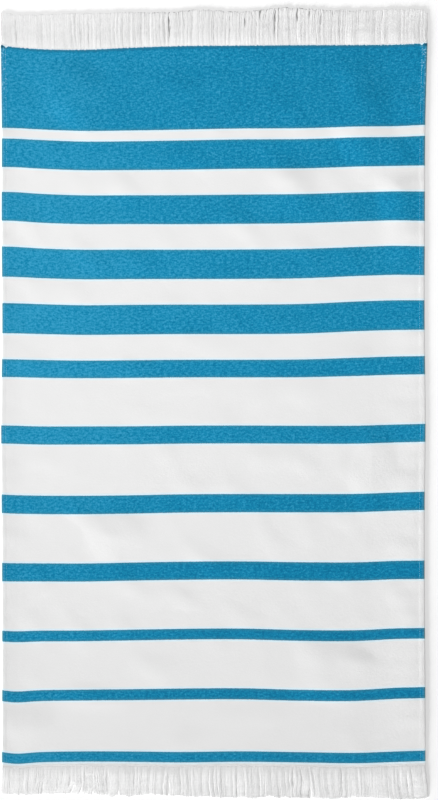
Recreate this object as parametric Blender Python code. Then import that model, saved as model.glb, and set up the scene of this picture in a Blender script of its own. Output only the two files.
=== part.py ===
"""A striped hammam towel, laid out flat: woven cloth with turned side hems, and a fringe at each end.

Metres, +Z up. The towel lies on z = 0 with its wide coloured stripe, the head end, towards +Y.
On the cloth, "across" runs from the left hem to the right one, and "along" from the head to the foot.
"""

import math

import bmesh
import bpy
import numpy as np

MM = 0.001

# Driving sizes of the cloth
TOWEL_WIDTH = 900 * MM
CLOTH_LENGTH = 1533 * MM

# The turned hems, in millimetres: how far in from the cloth's edge, and the thickness there. The
# last one is the plain cloth's.
HEM_SECTIONS = ((0.0, 1.4), (1.6, 3.2), (10.7, 3.0), (13.1, 1.6))

# Driving sizes of the fringes
HEADING_DEPTH = 6.0 * MM
HEADING_THICK = 2.4 * MM
SEAM_GAP = 0.5 * MM
LOCKS_AT_EACH_END = 112
LOCK_SHARE = 0.84
LOCK_TIP_SHARE = 0.88
LOCK_RIDGE_SHARE = 0.55
LOCK_GAP = 0.6 * MM
RAGGED_ENDS = 1.2 * MM
LOCK_SWAY = 2.2 * MM
LEAN_POWER = 1.5

# A lock's sections from its root to its cut end: share of its length, and height in millimetres
LOCK_SECTIONS = ((0.0, 2.4), (0.3, 2.8), (0.66, 2.4), (1.0, 1.6))

# The cloth lies a little off the middle, because the fringes flare further on the right.
CLOTH_MIDDLE = (-2.0 * MM, -3.5 * MM)

# Facets of the cloth between its hems, and from the head to the foot
FACETS_ACROSS = 24
FACETS_ALONG = 36

# How the weave strays from straight lines, in millimetres. Each row is one section of the cloth:
# how far it is from the head, how far its left and right edges stand out past the straight, and
# how far its weft thread rises towards the head at each of the WEFT_STATIONS, from left to right.
WEFT_STATIONS = (0, 22, 80, 166, 272, 380, 507, 640, 763, 838, 900)
SECTIONS = (
    (0, 3.1, 5.3, (2.1, -1.2, -6.0, -7.7, -3.2, 0.4, 1.3, 2.3, 2.6, 3.4, 6.6)),
    (174, 0.8, 0.6, (1.5, 1.0, -1.9, -5.1, -4.3, -2.4, 0.0, 0.7, 4.1, 4.9, 7.7)),
    (375, 1.2, -0.4, (4.5, 4.0, 0.2, -2.8, -2.8, -3.0, -2.3, -1.0, 3.0, 5.0, 3.8)),
    (610, -0.3, -0.9, (-0.2, -0.5, -1.9, -3.8, -3.0, -2.1, -2.1, -0.9, 4.3, 6.6, 7.2)),
    (809, 2.3, 1.1, (0.4, 0.0, -1.7, -1.7, -1.5, -0.2, 0.2, -0.4, 0.0, 2.3, 3.8)),
    (993, 1.0, -0.9, (-0.9, -2.0, -3.2, -3.6, -2.3, -0.2, 0.6, 0.4, 1.1, 3.8, 5.5)),
    (1138, 0.2, -0.9, (-1.9, -2.3, -2.3, -2.6, -0.6, 1.1, 1.9, -0.4, -0.6, 2.3, 3.0)),
    (1382, 0.0, 0.6, (-2.1, -4.5, -2.1, -0.9, 0.0, 1.3, 1.9, -1.3, -1.3, 3.0, 4.7)),
    (1533, 0.5, 1.1, (0.4, -2.8, 0.0, 1.5, 1.1, -0.4, 1.1, -0.4, -1.9, 0.6, 2.6)),
)

# Soft swells where the cloth stands off the floor, in millimetres:
# middle across, middle along, half width, half length, height
SWELLS = (
    (150, 95, 95, 92, 1.6),
    (770, 165, 80, 160, 2.2),
    (842, 330, 55, 150, 1.8),
    (610, 300, 70, 90, 1.2),
    (792, 900, 60, 130, 1.6),
    (240, 1045, 80, 70, 1.2),
    (60, 1440, 58, 90, 2.0),
    (700, 1330, 110, 90, 1.6),
)

# The outlines of the two fringes, in millimetres, at the FRINGE_STATIONS across the cloth: the
# length from the heading to the cut ends, and how far those ends lean towards the right
FRINGE_STATIONS = (0, 80, 165, 250, 335, 420, 507, 592, 677, 763, 838, 900)
FRINGE_LENGTHS = {
    "head": (60, 65, 70, 68.5, 64.5, 68, 64, 71, 67.5, 65, 68, 64),
    "foot": (55, 56, 57, 61.5, 58, 63, 64.5, 64.5, 64, 61.5, 68, 69),
}
FRINGE_LEANS = {
    "head": (0, -1, -3, -2, 0, 1, 2, 1, 0, 2, 2, 1),
    "foot": (-3, -3, -4, -3, -1, 1, 2, 3, 4, 4, 5, 7),
}

# Places where the locks of the fringes part: how far across and how wide the parting is, in
# millimetres, and the shares of the locks' length where it starts, is widest and ends
PARTINGS = {
    "head": (
        (163, 3.0, 0.72, 0.95, 1.2),
        (355, 3.6, 0.10, 0.60, 1.2),
        (372, 3.2, 0.40, 0.70, 1.2),
        (515, 4.2, 0.35, 0.70, 1.2),
        (545, 5.0, 0.70, 1.00, 1.2),
        (576, 4.6, 0.05, 0.75, 1.2),
        (630, 4.0, 0.40, 0.75, 1.1),
        (648, 6.0, 0.45, 0.90, 1.2),
        (672, 3.8, 0.40, 0.70, 1.1),
        (884, 5.0, 0.05, 0.55, 1.1),
    ),
    "foot": (
        (70, 3.4, 0.20, 0.45, 0.70),
        (90, 3.4, 0.40, 0.75, 1.2),
        (142, 3.0, 0.30, 0.60, 0.85),
        (152, 4.4, 0.45, 0.90, 1.2),
        (166, 4.6, 0.70, 1.00, 1.2),
        (196, 5.0, 0.75, 1.00, 1.2),
        (226, 3.8, 0.05, 0.35, 0.75),
        (249, 4.0, 0.75, 1.00, 1.2),
        (356, 4.6, 0.25, 0.75, 1.2),
        (620, 5.0, 0.02, 0.40, 0.75),
        (649, 5.2, 0.50, 0.85, 1.2),
    ),
}
PARTING_REACH = 22 * MM
SEEDS = {"head": 11, "foot": 23}

BLUE_WEFT = (0.014, 0.250, 0.450)
WHITE_COTTON = (0.82, 0.82, 0.83)
COTTON_ROUGHNESS = 0.9
SHARP_EDGE = math.radians(40)


def start_collection(name):
    """Removes every object that the new file holds, and makes the towel's own collection."""
    for obj in list(bpy.data.objects):
        bpy.data.objects.remove(obj)
    bpy.context.scene.collection.children.link(bpy.data.collections.new(name))
    layer = bpy.context.view_layer
    layer.active_layer_collection = layer.layer_collection.children[name]


def cotton(name, colour):
    """A matt finish of woven or spun cotton."""
    material = bpy.data.materials.new(name)
    material.use_nodes = True
    shader = material.node_tree.nodes["Principled BSDF"]
    shader.inputs["Base Color"].default_value = (*colour, 1.0)
    shader.inputs["Roughness"].default_value = COTTON_ROUGHNESS
    shader.inputs["Metallic"].default_value = 0.0
    return material


def smooth_curve(stations, values, at):
    """Reads a smooth curve through the values at their stations, in millimetres, as metres."""
    stations = np.array(stations) * MM
    values = np.array(values) * MM
    slopes = np.gradient(values, stations)
    at = np.clip(at, stations[0], stations[-1])
    i = np.clip(np.searchsorted(stations, at) - 1, 0, len(stations) - 2)
    gap = stations[i + 1] - stations[i]
    t = (at - stations[i]) / gap
    rest = 1 - t
    from_values = values[i] * (1 + 2 * t) * rest**2 + values[i + 1] * (1 + 2 * rest) * t**2
    from_slopes = gap * t * rest * (slopes[i] * rest - slopes[i + 1] * t)
    return from_values + from_slopes


def lie(across, along):
    """The floor places (x, y) of points across one weft thread, from the cloth's middle."""
    distances, lefts, rights, wefts = zip(*SECTIONS)
    left = smooth_curve(distances, lefts, along)
    right = smooth_curve(distances, rights, along)
    rises = [smooth_curve(distances, station, along) / MM for station in zip(*wefts)]
    share = across / TOWEL_WIDTH
    x = across - TOWEL_WIDTH / 2 - left * (1 - share) + right * share
    y = CLOTH_LENGTH / 2 - along + smooth_curve(WEFT_STATIONS, rises, across)
    return x, y


def lift(across, along):
    """How high the cloth's underside stands off the floor: nothing, but for the soft swells."""
    height = np.zeros_like(across)
    for middle, down, half_width, half_length, top in np.array(SWELLS) * MM:
        spread = ((across - middle) / half_width) ** 2 + ((along - down) / half_length) ** 2
        height += top * np.clip(1 - spread, 0, 1) ** 2
    return height


def cloth_columns():
    """Where the cloth's facets meet across it: close together in the hems, and then even."""
    hem_lines = np.array(HEM_SECTIONS)[:, 0] * MM
    even = np.linspace(hem_lines[-1], TOWEL_WIDTH - hem_lines[-1], FACETS_ACROSS + 1)
    right_lines = TOWEL_WIDTH - hem_lines[::-1]
    return np.concatenate((hem_lines[:-1], even, right_lines[1:]))


def cloth_thickness(across):
    """The turned layers of a rounded hem at each side, and plain cloth between."""
    hem_lines, thickness = np.array(HEM_SECTIONS).T * MM
    return np.interp(np.minimum(across, TOWEL_WIDTH - across), hem_lines, thickness)


def slab(name, places, thickness):
    """A grid laid on its places, [row][column] = (x, y, z), and raised by its thickness."""
    rows, columns = thickness.shape
    bpy.ops.mesh.primitive_grid_add(x_subdivisions=columns - 1, y_subdivisions=rows - 1, size=1)
    obj = bpy.context.object
    obj.name = name
    obj.data.name = name
    bm = bmesh.new()
    bm.from_mesh(obj.data)
    rise = bm.verts.layers.float.new("rise")
    for point in bm.verts:
        column = round((point.co.x + 0.5) * (columns - 1))
        row = round((0.5 - point.co.y) * (rows - 1))
        point.co = places[row, column]
        point[rise] = thickness[row, column]
    made = bmesh.ops.extrude_face_region(bm, geom=bm.faces[:], use_keep_orig=True)
    for item in made["geom"]:
        if isinstance(item, bmesh.types.BMVert):
            item.co.z += item[rise]
    bm.verts.layers.float.remove(rise)
    bmesh.ops.recalc_face_normals(bm, faces=bm.faces[:])
    return obj, bm


def finish(obj, bm, material):
    """Writes the edited mesh back, gives it its material and lays it in its place."""
    bmesh.ops.recalc_face_normals(bm, faces=bm.faces[:])
    bm.to_mesh(obj.data)
    bm.free()
    obj.data.materials.append(material)
    obj.data.shade_smooth()
    obj.data.set_sharp_from_angle(angle=SHARP_EDGE)
    obj.location = (*CLOTH_MIDDLE, 0)


def build_cloth(material):
    """The woven panel with its side hems, one solid."""
    columns = cloth_columns()
    rows = [
        np.stack((*lie(columns, along), lift(columns, along)), axis=1)
        for along in np.linspace(0, CLOTH_LENGTH, FACETS_ALONG + 1)
    ]
    thickness = np.tile(cloth_thickness(columns), (len(rows), 1))
    obj, bm = slab("towel_cloth", np.array(rows), thickness)
    finish(obj, bm, material)


def parting_push(end, across, share):
    """How far the partings push each lock sideways, at a share of its length."""
    push = np.zeros_like(across)
    for middle, width, starts, widest, ends in PARTINGS[end]:
        opened = np.interp(share, (starts, widest, ends), (0, 1, 0))
        away = across - middle * MM
        push += np.sign(away) * np.exp(-np.abs(away) / PARTING_REACH) * opened * width * MM / 2
    return push


def set_apart(middles, width):
    """Moves locks that would touch, from the middle of the fringe outwards, until a gap stays."""
    placed = middles.copy()
    pitch = width + LOCK_GAP
    half = len(placed) // 2
    for i in range(half + 1, len(placed)):
        placed[i] = max(placed[i], placed[i - 1] + pitch)
    for i in range(half - 1, -1, -1):
        placed[i] = min(placed[i], placed[i + 1] - pitch)
    return placed


def lock_sections(end):
    """The locks' places across the cloth, their lengths, and what each of their sections is:
    (share of the length, height, width, the locks' middles)."""
    random = np.random.default_rng(SEEDS[end])
    pitch = TOWEL_WIDTH / LOCKS_AT_EACH_END
    across = (np.arange(LOCKS_AT_EACH_END) + 0.5) * pitch
    lengths = smooth_curve(FRINGE_STATIONS, FRINGE_LENGTHS[end], across)
    lengths += random.normal(0, RAGGED_ENDS, len(across))
    leans = smooth_curve(FRINGE_STATIONS, FRINGE_LEANS[end], across)
    sways = random.normal(0, LOCK_SWAY, (2, len(across)))
    sways[:, 1:-1] = (sways[:, :-2] + sways[:, 1:-1] + sways[:, 2:]) / 3
    sections = []
    for share, height in LOCK_SECTIONS:
        width = pitch * LOCK_SHARE * (1 - (1 - LOCK_TIP_SHARE) * share)
        sway = sways[0] * math.sin(math.pi * share) + sways[1] * share**2
        middles = across + leans * share**LEAN_POWER + sway + parting_push(end, across, share)
        sections.append((share, height * MM, width, set_apart(middles, width) if share else across))
    return across, lengths, sections


def shape_lock_end(face, x, y, width, height):
    """Makes the end face of a lock a trapezoid that stands on the floor."""
    by_height = sorted(face.verts, key=lambda point: point.co.z)
    levels = ((by_height[:2], width, 0), (by_height[2:], width * LOCK_RIDGE_SHARE, height))
    for pair, wide, z in levels:
        left, right = sorted(pair, key=lambda point: point.co.x)
        left.co = (x - wide / 2, y, z)
        right.co = (x + wide / 2, y, z)


def heading_places(end, edges):
    """The corners of the heading strip, which follows the facets of the cloth's end."""
    along = 0 if end == "head" else CLOTH_LENGTH
    outwards = 1 if end == "head" else -1
    x = lie(edges, along)[0]
    inner = np.interp(x, *lie(cloth_columns(), along)) + outwards * SEAM_GAP
    outer = inner + outwards * HEADING_DEPTH
    lines = (outer, inner) if end == "head" else (inner, outer)
    return np.array([np.stack((x, line, np.zeros_like(x)), axis=1) for line in lines])


def build_fringe(end, material):
    """One end's heading strip with its locks, extruded from the strip's outer edge: one solid."""
    outwards = 1 if end == "head" else -1
    across, lengths, sections = lock_sections(end)
    half = sections[0][2] / 2
    edges = np.stack((across - half, across + half), axis=1).flatten()
    edges[0] = 0
    edges[-1] = TOWEL_WIDTH
    places = heading_places(end, edges)
    obj, bm = slab("fringe_" + end, places, np.full(places.shape[:2], HEADING_THICK))
    outer_faces = [face for face in bm.faces if round(face.normal.y * outwards) == 1]
    outer_faces.sort(key=lambda face: face.calc_center_median().x)
    ends = outer_faces[::2]
    roots = [face.calc_center_median() for face in ends]
    for share, height, width, middles in sections[1:]:
        made = bmesh.ops.extrude_discrete_faces(bm, faces=ends)
        ends = sorted(made["faces"], key=lambda face: face.calc_center_median().x)
        for face, root, sideways, length in zip(ends, roots, middles - across, lengths):
            y = root.y + outwards * share * length
            shape_lock_end(face, root.x + sideways, y, width, height)
    finish(obj, bm, material)


def main():
    start_collection("hammam_towel")
    build_cloth(cotton("striped_cotton", BLUE_WEFT))
    white = cotton("white_cotton", WHITE_COTTON)
    build_fringe("head", white)
    build_fringe("foot", white)


main()
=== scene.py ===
# %% [markdown]
# # A striped hammam towel, laid out flat
# A hammam towel is a light flat-woven cotton cloth. Its long threads, the warp, are white all the way
# through. The threads across it, the weft, change from white to blue, and that makes the stripes. The
# sides are turned under and sewn, and at both ends the warp hangs out loose as a fringe.
#
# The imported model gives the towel's place and size. Here the plain solids are replaced by a finer cloth,
# by yarns and by stitches, and these get their colours and their weave.

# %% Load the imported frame
import math

import bpy
import numpy as np
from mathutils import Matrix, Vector


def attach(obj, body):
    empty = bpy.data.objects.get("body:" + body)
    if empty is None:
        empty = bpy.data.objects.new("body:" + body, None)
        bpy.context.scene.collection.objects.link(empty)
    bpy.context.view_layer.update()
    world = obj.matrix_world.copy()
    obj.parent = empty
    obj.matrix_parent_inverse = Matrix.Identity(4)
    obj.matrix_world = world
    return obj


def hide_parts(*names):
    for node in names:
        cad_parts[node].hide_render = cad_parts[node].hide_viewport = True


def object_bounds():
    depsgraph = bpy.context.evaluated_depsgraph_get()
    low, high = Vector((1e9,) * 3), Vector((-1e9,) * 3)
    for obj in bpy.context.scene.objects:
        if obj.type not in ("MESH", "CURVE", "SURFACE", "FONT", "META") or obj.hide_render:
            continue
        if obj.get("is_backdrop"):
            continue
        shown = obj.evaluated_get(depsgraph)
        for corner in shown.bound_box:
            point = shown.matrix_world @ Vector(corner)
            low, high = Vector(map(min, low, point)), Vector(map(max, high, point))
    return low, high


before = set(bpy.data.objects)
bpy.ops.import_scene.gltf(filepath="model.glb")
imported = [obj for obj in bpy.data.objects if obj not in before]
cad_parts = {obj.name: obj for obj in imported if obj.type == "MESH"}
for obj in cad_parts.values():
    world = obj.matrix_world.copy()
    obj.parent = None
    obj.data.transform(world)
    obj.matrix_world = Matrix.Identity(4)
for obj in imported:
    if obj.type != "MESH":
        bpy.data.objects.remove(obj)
cad_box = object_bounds()
print("nodes of the packed model:", sorted(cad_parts))

# %% [markdown]
# ## The camera
# The towel is seen from straight above, so the camera looks down the Z axis and needs no turning. A long
# lens from far away keeps the cloth's edges straight. How far away follows from the lens: it sees a strip
# as long as its sensor at a distance of one focal length.

# %% Place the camera
MM = 0.001
SENSOR = 36 * MM
LENS = 100 * MM
VIEW_LENGTH = 1706.2 * MM
VIEW_MIDDLE = (9.9 * MM, 7.6 * MM)

camera_height = VIEW_LENGTH * LENS / SENSOR
bpy.ops.object.camera_add(location=(*VIEW_MIDDLE, camera_height), rotation=(0, 0, 0))
camera = bpy.context.object
camera.name = "overhead_camera"
camera.data.lens = LENS / MM
camera.data.sensor_width = SENSOR / MM
bpy.context.scene.camera = camera
bpy.context.scene.view_settings.view_transform = "Standard"
print(f"the camera hangs {camera_height:.2f} m above the floor")

# %% [markdown]
# ## How the cloth lies
# Every point of the cloth has a flat place: how far it is across from the left edge, and how far along
# from the head end. A short table says where that place lies on the floor: the side edges' small
# strays at nine distances along, and how far the weft thread rises or falls there at eleven places
# across. A smooth curve joins the values. The model's solids were made from the same table.

# %% Sizes of the cloth
TOWEL_WIDTH = 900 * MM
CLOTH_LENGTH = 1533 * MM
CLOTH_THICK = 1.6 * MM
CLOTH_MIDDLE = (-2.0 * MM, -3.5 * MM)
WEFT_STATIONS = (0, 22, 80, 166, 272, 380, 507, 640, 763, 838, 900)
SECTIONS = (  # along, left edge's stray, right edge's stray, the weft's rise at each station
    (0, 3.1, 5.3, (2.1, -1.2, -6.0, -7.7, -3.2, 0.4, 1.3, 2.3, 2.6, 3.4, 6.6)),
    (174, 0.8, 0.6, (1.5, 1.0, -1.9, -5.1, -4.3, -2.4, 0.0, 0.7, 4.1, 4.9, 7.7)),
    (375, 1.2, -0.4, (4.5, 4.0, 0.2, -2.8, -2.8, -3.0, -2.3, -1.0, 3.0, 5.0, 3.8)),
    (610, -0.3, -0.9, (-0.2, -0.5, -1.9, -3.8, -3.0, -2.1, -2.1, -0.9, 4.3, 6.6, 7.2)),
    (809, 2.3, 1.1, (0.4, 0.0, -1.7, -1.7, -1.5, -0.2, 0.2, -0.4, 0.0, 2.3, 3.8)),
    (993, 1.0, -0.9, (-0.9, -2.0, -3.2, -3.6, -2.3, -0.2, 0.6, 0.4, 1.1, 3.8, 5.5)),
    (1138, 0.2, -0.9, (-1.9, -2.3, -2.3, -2.6, -0.6, 1.1, 1.9, -0.4, -0.6, 2.3, 3.0)),
    (1382, 0.0, 0.6, (-2.1, -4.5, -2.1, -0.9, 0.0, 1.3, 1.9, -1.3, -1.3, 3.0, 4.7)),
    (1533, 0.5, 1.1, (0.4, -2.8, 0.0, 1.5, 1.1, -0.4, 1.1, -0.4, -1.9, 0.6, 2.6)),
)


def between(t, gap, values, slopes):
    """A smooth way from the first value to the second, with the slopes that it has at its two ends."""
    rest = 1 - t
    from_values = values[0] * (1 + 2 * t) * rest**2 + values[1] * (1 + 2 * rest) * t**2
    from_slopes = gap * t * rest * (slopes[0] * rest - slopes[1] * t)
    return from_values + from_slopes


def find_gap(stations, at):
    """Which gap between stations a place is in, how far through it, and how wide the gap is."""
    at = np.clip(at, stations[0], stations[-1])
    i = np.clip(np.searchsorted(stations, at) - 1, 0, len(stations) - 2)
    gap = stations[i + 1] - stations[i]
    return i, (at - stations[i]) / gap, gap


def smooth_curve(stations, values, at):
    """Reads a smooth curve through the values at their stations, in millimetres, as metres."""
    stations = np.array(stations) * MM
    values = np.array(values) * MM
    slopes = np.gradient(values, stations)
    i, t, gap = find_gap(stations, at)
    return between(t, gap, (values[i], values[i + 1]), (slopes[i], slopes[i + 1]))


def floor_place(across, along):
    """Where a flat place of the cloth lies on the floor, as x and y."""
    distances, lefts, rights, wefts = zip(*SECTIONS)
    left = smooth_curve(distances, lefts, along)
    right = smooth_curve(distances, rights, along)
    rises = np.array([smooth_curve(distances, station, along) for station in zip(*wefts)])
    stations = np.array(WEFT_STATIONS) * MM
    slopes = np.gradient(rises, stations, axis=0)
    i, t, gap = find_gap(stations, across)
    each = np.arange(len(across))
    ends = (i, each), (i + 1, each)
    weft_rise = between(t, gap, [rises[end] for end in ends], [slopes[end] for end in ends])
    share = across / TOWEL_WIDTH
    x = across - TOWEL_WIDTH / 2 - left * (1 - share) + right * share
    y = CLOTH_LENGTH / 2 - along + weft_rise
    return x + CLOTH_MIDDLE[0], y + CLOTH_MIDDLE[1]


corner = np.array([0.0]), np.array([0.0])
print("the head's left corner lies at", [round(float(v[0]), 4) for v in floor_place(*corner)])

# %% [markdown]
# ## Swells, dents and creases
# Thin cotton never lies dead flat. Wide swells stand a millimetre or two off the floor. On them lie
# fold lines and dents that are only tenths of a millimetre deep, but a low light shows them. Each is one
# row of a table with its place, size, turn and height, so that it can be moved by hand. A few crossing
# waves, as weak as a sheet of paper is thick, keep the rest from looking like a board.

# %% Heights of the cloth off the floor
SWELLS = (  # middle across, middle along, half width, half length, height
    (150, 95, 95, 92, 1.3),
    (770, 165, 80, 160, 1.8),
    (842, 330, 55, 150, 1.4),
    (610, 300, 70, 90, 1.0),
    (792, 900, 60, 130, 1.2),
    (240, 1045, 80, 70, 1.0),
    (60, 1440, 58, 90, 0.7),
    (700, 1330, 110, 90, 1.2),
)
CREASES = (  # middle across, middle along, half length, half width, turn in degrees, height
    (603, 282, 34, 13, 12, 0.28),
    (869, 280, 26, 12, -20, -0.28),
    (846, 306, 30, 11, 35, 0.28),
    (375, 738, 42, 14, -8, 0.22),
    (240, 1043, 38, 14, 20, 0.22),
    (70, 1171, 34, 13, -30, 0.28),
    (187, 1193, 40, 14, 15, -0.22),
    (763, 1310, 44, 15, 10, 0.28),
    (613, 1455, 36, 13, -12, -0.22),
    (788, 905, 52, 8, 88, 0.2),
    (27, 1449, 30, 12, 70, 0.12),
)
WAVE_COUNT = 14
WAVE_LENGTHS = (70 * MM, 190 * MM)
WAVE_HEIGHT = 0.052 * MM
WAVE_SEED = 5


def swell_height(across, along):
    """How high the wide swells lift the cloth."""
    height = np.zeros(np.shape(across))
    for middle, down, half_width, half_length, top in np.array(SWELLS) * MM:
        spread = ((across - middle) / half_width) ** 2 + ((along - down) / half_length) ** 2
        height += top * np.clip(1 - spread, 0, 1) ** 2
    return height


def crease_height(across, along):
    """How high the fold lines stand, and below nothing how deep the dents are."""
    height = np.zeros(np.shape(across))
    for middle, down, half_length, half_width, turn, top in CREASES:
        right, forward = across - middle * MM, along - down * MM
        cosine, sine = math.cos(math.radians(turn)), math.sin(math.radians(turn))
        lengthwise = (right * cosine + forward * sine) / (half_length * MM)
        crosswise = (forward * cosine - right * sine) / (half_width * MM)
        height += top * MM * np.exp(-(lengthwise**2) - crosswise**2)
    return height


def wave_height(across, along):
    """The weak crossing waves of a cloth that was folded and smoothed out by hand."""
    random = np.random.default_rng(WAVE_SEED)
    height = np.zeros(np.shape(across))
    for _ in range(WAVE_COUNT):
        turn, start = random.uniform(0, 2 * math.pi, 2)
        length = random.uniform(*WAVE_LENGTHS)
        way = across * math.cos(turn) + along * math.sin(turn)
        height += WAVE_HEIGHT * np.sin(2 * math.pi * way / length + start)
    return height


def underside_height(across, along):
    """How high the cloth's underside is at a flat place. It never goes below the floor."""
    fine = crease_height(across, along) + wave_height(across, along)
    return np.maximum(swell_height(across, along) + fine, 0)


# %% [markdown]
# ## The hem
# Each side is folded under twice and sewn down close to the fold's inner edge. So it is three layers
# thick, round outside, where it stands a hair proud, and pinched where the thread pulls it down. The
# folds are underneath, so the cloth beside them can't lie on the floor at once: it comes down slowly
# over a few fingers' width, and on the right, where it is stiffer, over a hand's width. A table of
# heights gives the top of each side. Towards the foot's right corner the hem is pressed flat.

# %% The hem's section
HEM_PROFILE = (  # inset from the edge, rise of the underside, top at the left, top at the right
    (-0.7, 0.6, 2.3, 2.25),
    (-0.2, 0.3, 2.46, 2.48),
    (0.5, 0.0, 2.58, 2.59),
    (1.8, 0.0, 2.62, 2.65),
    (4.5, 0.0, 2.56, 2.69),
    (8.4, 0.0, 2.4, 2.7),
    (9.6, 0.2, 2.28, 2.59),
    (10.8, 0.1, 2.31, 2.56),
    (12.6, 0.0, 2.27, 2.52),
    (20.0, 0.0, 2.08, 2.56),
    (32.0, 0.0, 1.83, 2.44),
    (52.0, 0.0, 1.64, 2.12),
    (78.0, 0.0, 1.6, 1.77),
    (108.0, 0.0, 1.6, 1.6),
)
EDGE_PROUD = (0.25 * MM, 0.7 * MM)  # how far the folds stand out past the left and right edges
HEM_WIDTH = 12.6 * MM
STITCH_INSET = 9.6 * MM
HEM_WAVER = 0.06  # how much thicker and thinner the hem gets along the cloth, as a share
HEM_WAVER_LENGTHS = (37 * MM, 99.9 * MM)
RIGHT_WAVER_START = 2.0  # radians by which the right hem's waver is ahead of the left one's
PRESSED_FLAT = 0.85
PRESSED_FROM = 1450 * MM


def hem_section(across, along):
    """The heights of the cloth's underside and top over its lowest face, hems and all."""
    insets, undersides, left_tops, right_tops = np.array(HEM_PROFILE).T * MM
    inset = np.minimum(across, TOWEL_WIDTH - across)
    at_left = across < TOWEL_WIDTH / 2
    start = np.where(at_left, 0, RIGHT_WAVER_START)
    waver = np.sin(2 * math.pi * along / HEM_WAVER_LENGTHS[0] + start)
    waver += np.sin(2 * math.pi * along / HEM_WAVER_LENGTHS[1])
    top = np.where(at_left, np.interp(inset, insets, left_tops), np.interp(inset, insets, right_tops))
    pressed = np.clip((along - PRESSED_FROM) / (CLOTH_LENGTH - PRESSED_FROM), 0, 1)
    thicker = 1 + HEM_WAVER * waver - PRESSED_FLAT * np.where(at_left, 0, pressed)
    top = CLOTH_THICK + (top - CLOTH_THICK) * thicker
    underside = np.where(inset > HEM_WIDTH, top - CLOTH_THICK, np.interp(inset, insets, undersides))
    return underside, top


# %% [markdown]
# ## Making a flat panel and laying it
# The panel starts as one flat grid of the cloth's real size. It is cut along the hem's lines with the
# Bisect tool and extruded once, which gives it a top, a bottom and edges. Only then is it laid: each
# point moves from its flat place to where the tables say it lies. The flat place stays behind as an
# attribute, in millimetres, so stripes and weave follow the threads whatever shape the cloth takes.

# %% Panels of cloth
FLAT_PLACE = "flat_place"
PANEL_STEP = 6 * MM


def select_only(*pieces):
    """Selects these objects and no other, and makes the first the active one."""
    bpy.ops.object.select_all(action="DESELECT")
    for piece in pieces:
        piece.select_set(True)
    bpy.context.view_layer.objects.active = pieces[0] if pieces else None


def add_grid(name, across, along, steps):
    """Adds a flat grid whose x is the way across and whose -y is the way along."""
    select_only()
    width, length = across[1] - across[0], along[1] - along[0]
    middle = (across[0] + width / 2, -along[0] - length / 2, 0)
    bpy.ops.mesh.primitive_grid_add(x_subdivisions=steps[0], y_subdivisions=steps[1], size=1)
    obj = bpy.context.object
    obj.name = name
    obj.data.name = name
    bpy.ops.transform.resize(value=(width, length, 1))
    bpy.ops.transform.translate(value=middle)
    bpy.ops.object.transform_apply(location=True, rotation=False, scale=True)
    return obj


def cut_lines(lines, axis):
    """Cuts the open mesh all the way through at each line, square to the axis."""
    for line in lines:
        bpy.ops.mesh.select_all(action="SELECT")
        bpy.ops.mesh.bisect(plane_co=[line * part for part in axis], plane_no=axis)


def close_mesh():
    """Turns the open mesh's faces outwards and leaves edit mode."""
    bpy.ops.mesh.select_all(action="SELECT")
    bpy.ops.mesh.normals_make_consistent(inside=False)
    bpy.ops.object.mode_set(mode="OBJECT")


def flat_panel(name, across, along, steps, lines):
    """A closed flat slab with its top at CLOTH_THICK, cut lengthwise at the lines."""
    obj = add_grid(name, across, along, steps)
    bpy.ops.object.mode_set(mode="EDIT")
    cut_lines(lines, (1, 0, 0))
    bpy.ops.mesh.select_all(action="SELECT")
    bpy.ops.mesh.extrude_region_move(TRANSFORM_OT_translate={"value": (0, 0, CLOTH_THICK)})
    close_mesh()
    return obj


def points_of(obj):
    """The mesh's points as rows of x, y and z."""
    points = np.empty(3 * len(obj.data.vertices))
    obj.data.vertices.foreach_get("co", points)
    return points.reshape(-1, 3)


def keep_attribute(obj, name, kind, values):
    """Stores a value at each point of the mesh under a plain name."""
    attribute = obj.data.attributes.new(name, kind, "POINT")
    field = "vector" if kind == "FLOAT_VECTOR" else "value"
    attribute.data.foreach_set(field, np.asarray(values, dtype=float).ravel())


def lay_panel(obj, end_slope=lambda along: 1.0):
    """Moves each point from its flat place to where it lies, and keeps the flat place."""
    flat = points_of(obj)
    across, along, is_top = flat[:, 0], -flat[:, 1], flat[:, 2] > CLOTH_THICK / 2
    underside, top = hem_section(across, along)
    x, y = floor_place(across, along)
    z = underside_height(across, along) + np.where(is_top, top * end_slope(along), underside)
    obj.data.vertices.foreach_set("co", np.stack((x, y, z), axis=1).ravel())
    keep_attribute(obj, FLAT_PLACE, "FLOAT_VECTOR", np.stack((across, along, 0 * along), axis=1) / MM)
    obj.data.update()


def count_triangles(obj):
    """How many triangles the mesh has."""
    return sum(len(face.vertices) - 2 for face in obj.data.polygons)


hem_lines = [row[0] * MM for row in HEM_PROFILE[1:]]
hem_cuts = hem_lines + [TOWEL_WIDTH - line for line in hem_lines]
edge_to_edge = (-EDGE_PROUD[0], TOWEL_WIDTH + EDGE_PROUD[1])
panel_steps = (round(TOWEL_WIDTH / PANEL_STEP), round(CLOTH_LENGTH / PANEL_STEP))
woven_cloth = flat_panel("woven_cloth", edge_to_edge, (0, CLOTH_LENGTH), panel_steps, hem_cuts)
lay_panel(woven_cloth)
print("the woven cloth has", count_triangles(woven_cloth), "triangles")

# %% [markdown]
# ## The hem's stitches
# A sewing machine leaves a row of short raised bars where the top thread shows, with a small hole at
# each end. One stitch is modelled: a bar with six sides whose ends bend down into the cloth. Its copies
# run down both hems, in one mesh, and each differs a little in length, turn and thickness. The same
# stitch, turned over, is the bobbin thread on the underside.

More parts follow.
